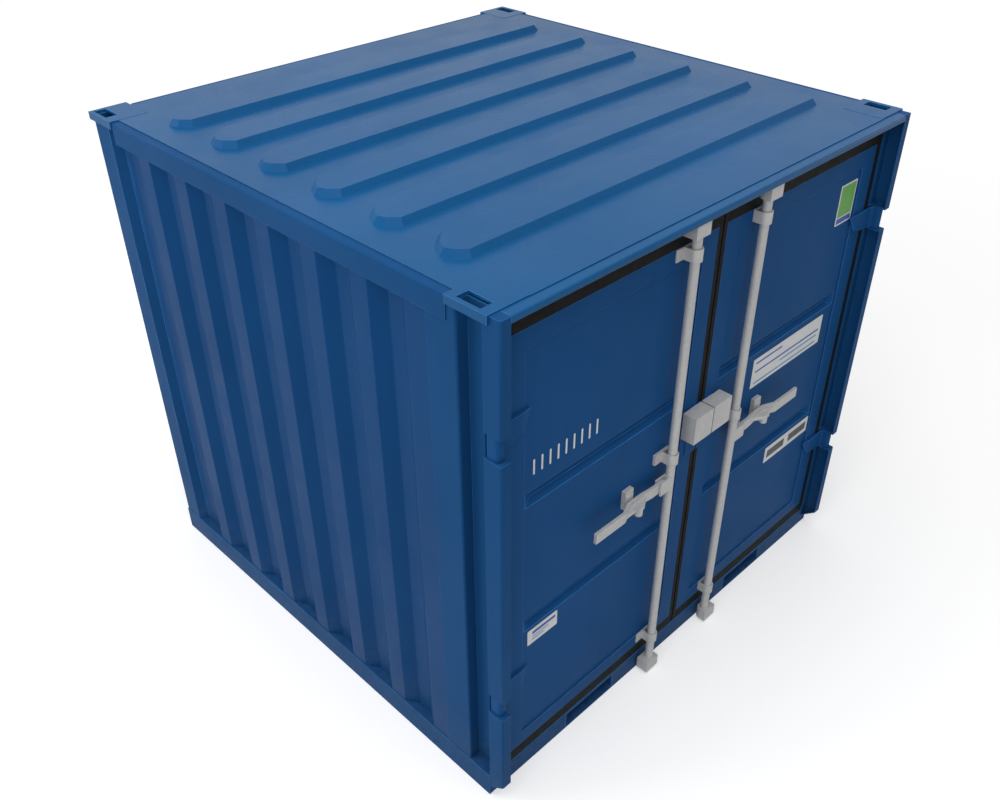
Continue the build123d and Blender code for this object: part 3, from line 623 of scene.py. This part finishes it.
class CONTAINER_OT_soften_edges(bpy.types.Operator):
    """Round the cut and bent edges of every steel and board solid, in the last finish of each"""

    bl_idname = "container.soften_edges"
    bl_label = "Soften edges"

    def execute(self, context):
        for name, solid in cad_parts.items():
            if name in both("door_seal"):
                continue
            weld = solid.modifiers.new("join", "WELD")
            weld.merge_threshold = SAME_POINT
            flat = solid.modifiers.new("flat", "DECIMATE")
            flat.decimate_type = "DISSOLVE"
            flat.angle_limit = FLAT_ANGLE
            bevel = solid.modifiers.new("edge", "BEVEL")
            bevel.width = context.scene.container_finish.edge
            bevel.segments = EDGE_SEGMENTS
            bevel.limit_method = "ANGLE"
            bevel.angle_limit = SHARP_ANGLE
            bevel.use_clamp_overlap = True
            # The rounded edges take the last finish of each solid; where a solid has two, that is the paler
            # edge paint, a painted highlight with some wear
            bevel.material = len(solid.data.materials) - 1
        return {"FINISHED"}


class CONTAINER_OT_back_notches(bpy.types.Operator):
    """Close the back of the hinge notches with a thin sheet on the groove side of each front post"""

    bl_idname = "container.back_notches"
    bl_label = "Back notches"

    def execute(self, context):
        fittings = context.scene.container_fittings
        coat = bpy.data.materials["body_paint_gloss"]
        size = Vector((fittings.backing_width, fittings.backing_thick, fittings.backing_height))
        for side, turn in (("left", -1), ("right", 1)):
            bm = bmesh.new()
            for low in fittings.notch_low:
                x = turn * (fittings.backing_x + size.x / 2)
                y = fittings.backing_y + size.y / 2
                z = low + fittings.notch_height / 2
                sheet = Matrix.Translation((x, y, z)) @ Matrix.Diagonal((*size, 1.0))
                bmesh.ops.create_cube(bm, size=1.0, matrix=sheet)
            finished(f"notch_backing_{side}", bm, "container", coat)
        return {"FINISHED"}


def panel_face(side):
    """The plane of a leaf's recessed panel."""
    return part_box(f"door_panel_{side}")[0].y


def plate(bm, spot, face, thick, corner):
    """A thin plate with rounded corners that stands on the plane of a leaf's panel."""
    x0, x1, z0, z1 = spot
    turned = Matrix.Translation(((x0 + x1) / 2, face, (z0 + z1) / 2)) @ Matrix.Rotation(math.pi / 2, 4, "X")
    sized = turned @ Matrix.Diagonal((x1 - x0, z1 - z0, 1, 1))
    made = bmesh.ops.create_grid(bm, x_segments=1, y_segments=1, size=0.5, matrix=sized)
    bmesh.ops.bevel(bm, geom=made["verts"], offset=corner, offset_type="OFFSET", segments=CORNER_SEGMENTS,
                    profile=0.5, affect="VERTICES", material=-1)
    middles = [(sheet, sheet.calc_center_median()) for sheet in bm.faces]
    flat = [sheet for sheet, middle in middles
            if abs(middle.y - face) < SAME_POINT and x0 < middle.x < x1 and z0 < middle.z < z1]
    grown = bmesh.ops.extrude_face_region(bm, geom=flat)["geom"]
    corners = [part for part in grown if isinstance(part, bmesh.types.BMVert)]
    bmesh.ops.translate(bm, vec=(0, -thick, 0), verts=corners)


def part_of(spot, shares):
    """The part of a plate's spot that shares of its width and height mark off."""
    x0, x1, z0, z1 = spot
    left, right, low, high = shares
    return x0 + left * (x1 - x0), x0 + right * (x1 - x0), z0 + low * (z1 - z0), z0 + high * (z1 - z0)


class CONTAINER_OT_blank_plates(bpy.types.Operator):
    """Fix the blank plates to the leaves, each with plain bands"""

    bl_idname = "container.blank_plates"
    bl_label = "Blank plates"

    def execute(self, context):
        marks = context.scene.container_marks
        white = film("plate_white_film", marks.plate_white)
        inks = {ink: film(f"plate_{ink}_film", getattr(marks, f"band_{ink}")) for ink in BAND_INKS}
        for name, side in PLATE_LEAVES.items():
            spot = getattr(marks, name)
            face = panel_face(side)
            bm = bmesh.new()
            plate(bm, spot, face, marks.plate_thick, marks.plate_round)
            finished(f"{name}_{side}", bm, f"door_{side}", white)
            for number, (shares, ink) in enumerate(BAND_SHARES[name], start=1):
                bm = bmesh.new()
                plate(bm, part_of(spot, shares), face - marks.plate_thick, marks.ink_thick, marks.ink_round)
                finished(f"{name}_band_{number}_{side}", bm, f"door_{side}", inks[ink])
        return {"FINISHED"}


class CONTAINER_OT_mark_row(bpy.types.Operator):
    """Spray the row of plain marks on the left leaf"""

    bl_idname = "container.mark_row"
    bl_label = "Mark row"

    def execute(self, context):
        marks = context.scene.container_marks
        ink = film("mark_white_film", marks.plate_white)
        face = panel_face("left")
        thick = marks.plate_thick * MARK_THICK_SHARE
        corner = marks.mark_width * MARK_ROUND_SHARE
        x0, x1, z0, z1 = marks.mark_spot
        step = (x1 - x0) / marks.mark_count
        bm = bmesh.new()
        for number in range(marks.mark_count):
            left = x0 + (number + 0.5) * step - marks.mark_width / 2
            plate(bm, (left, left + marks.mark_width, z0, z1), face, thick, corner)
        finished("mark_row_left", bm, "door_left", ink)
        return {"FINISHED"}


class CONTAINER_OT_set_stage(bpy.types.Operator):
    """Lay the pale floor and set the lamps and the camera"""

    bl_idname = "container.set_stage"
    bl_label = "Set stage"

    def execute(self, context):
        scene = context.scene
        stage = scene.container_stage
        self.floor(scene, stage)
        self.sky(scene, stage)
        self.lamp(scene, "front_lamp", stage.front_lamp, stage.front_power, stage.front_size)
        self.lamp(scene, "side_lamp", stage.side_lamp, stage.side_power, stage.side_size)
        self.lamp(scene, "top_lamp", stage.top_lamp, stage.top_power, stage.top_size)
        self.camera(scene, stage)
        scene.view_settings.view_transform = "Standard"
        return {"FINISHED"}

    def seen(self, tree):
        """1 for rays that reach the eye straight, by gloss or through glass."""
        path = node(tree, "ShaderNodeLightPath").outputs
        first = worked(tree, "MAXIMUM", path["Is Camera Ray"], path["Is Glossy Ray"])
        return worked(tree, "MAXIMUM", first, path["Is Transmission Ray"])

    def floor(self, scene, stage):
        """The wide floor under the container."""
        bm = bmesh.new()
        bmesh.ops.create_grid(bm, x_segments=1, y_segments=1, size=FLOOR_HALF)
        mesh = bpy.data.meshes.new("studio_floor")
        bm.to_mesh(mesh)
        bm.free()
        mesh.materials.append(self.floor_finish(stage))
        floor = bpy.data.objects.new("studio_floor", mesh)
        scene.collection.objects.link(floor)

    def floor_finish(self, stage):
        """Pale floor that keeps the soft shadow beside the container and is white around it."""
        made, tree, skin = shader("studio_floor_pale", Roughness=0.9, Specular_IOR_Level=0.0,
                                  Base_Color=opaque((stage.floor_white,) * 3), Emission_Color=WHITE)
        away = node(tree, "ShaderNodeVectorMath", {0: place(tree)}, operation="LENGTH").outputs["Value"]
        level = ramp(tree, away, *stage.glow_reach, *stage.floor_glow)
        glow = worked(tree, "MULTIPLY", self.seen(tree), level)
        tree.links.new(glow, skin.inputs["Emission Strength"])
        return made

    def sky(self, scene, stage):
        """Even white light all round, white where the eye sees it."""
        world = bpy.data.worlds.new("studio_sky")
        scene.world = world
        world.use_nodes = True
        tree = world.node_tree
        back = tree.nodes["Background"]
        back.inputs["Color"].default_value = WHITE
        level = ramp(tree, self.seen(tree), start=0.0, end=1.0, low=stage.sky, high=1.0)
        tree.links.new(level, back.inputs["Strength"])

    def lamp(self, scene, name, spot, power, size):
        """A square soft lamp that looks at the middle of the container."""
        data = bpy.data.lights.new(name, "AREA")
        data.energy = power
        data.size = size
        made = bpy.data.objects.new(name, data)
        scene.collection.objects.link(made)
        low, high = CAD_BOX
        made.location = spot
        made.rotation_mode = "QUATERNION"
        made.rotation_quaternion = ((low + high) / 2 - Vector(spot)).to_track_quat("-Z", "Y")

    def camera(self, scene, stage):
        """The camera where the picture was taken from."""
        data = bpy.data.cameras.new("studio_camera")
        data.sensor_fit = "HORIZONTAL"
        data.sensor_width = SENSOR_WIDTH
        data.lens = stage.lens
        data.shift_x, data.shift_y = stage.shift
        data.clip_end = CAMERA_REACH
        eye = bpy.data.objects.new("studio_camera", data)
        scene.collection.objects.link(eye)
        azimuth, elevation = stage.turn
        level = math.cos(elevation)
        back = Vector((math.sin(azimuth) * level, -math.cos(azimuth) * level, math.sin(elevation)))
        eye.location = stage.eye
        eye.rotation_mode = "QUATERNION"
        eye.rotation_quaternion = (-back).to_track_quat("-Z", "Y")
        scene.camera = eye


STEPS = (
    CONTAINER_OT_paint_body,
    CONTAINER_OT_paint_doors,
    CONTAINER_OT_zinc_gear,
    CONTAINER_OT_fit_seals,
    CONTAINER_OT_lay_floor,
    CONTAINER_OT_soften_edges,
    CONTAINER_OT_back_notches,
    CONTAINER_OT_blank_plates,
    CONTAINER_OT_mark_row,
    CONTAINER_OT_set_stage,
)
GROUPS = {
    "container_finish": ContainerFinish,
    "container_fittings": ContainerFittings,
    "container_marks": ContainerMarks,
    "container_stage": ContainerStage,
}


class CONTAINER_PT_steps(bpy.types.Panel):
    """The steps that finish the container"""

    bl_idname = "CONTAINER_PT_steps"
    bl_label = "Container"
    bl_space_type = "VIEW_3D"
    bl_region_type = "UI"
    bl_category = "Container"

    def draw(self, context):
        for step in STEPS:
            self.layout.operator(step.bl_idname)
        for group, kind in GROUPS.items():
            box = self.layout.box()
            for name in kind.__annotations__:
                box.prop(getattr(context.scene, group), name)


CLASSES = (*GROUPS.values(), *STEPS, CONTAINER_PT_steps)


def register():
    """Make the settings, steps and panel known to Blender."""
    for made in CLASSES:
        bpy.utils.register_class(made)
    for group, kind in GROUPS.items():
        setattr(bpy.types.Scene, group, PointerProperty(type=kind))


def unregister():
    """Take the settings, steps and panel away again."""
    for group in GROUPS:
        delattr(bpy.types.Scene, group)
    for made in reversed(CLASSES):
        bpy.utils.unregister_class(made)


def main():
    """Finish the container step by step."""
    register()
    bpy.ops.container.paint_body()
    bpy.ops.container.paint_doors()
    bpy.ops.container.zinc_gear()
    bpy.ops.container.fit_seals()
    bpy.ops.container.lay_floor()
    bpy.ops.container.soften_edges()
    bpy.ops.container.back_notches()
    bpy.ops.container.blank_plates()
    bpy.ops.container.mark_row()
    bpy.ops.container.set_stage()


if __name__ == "__main__":
    main()
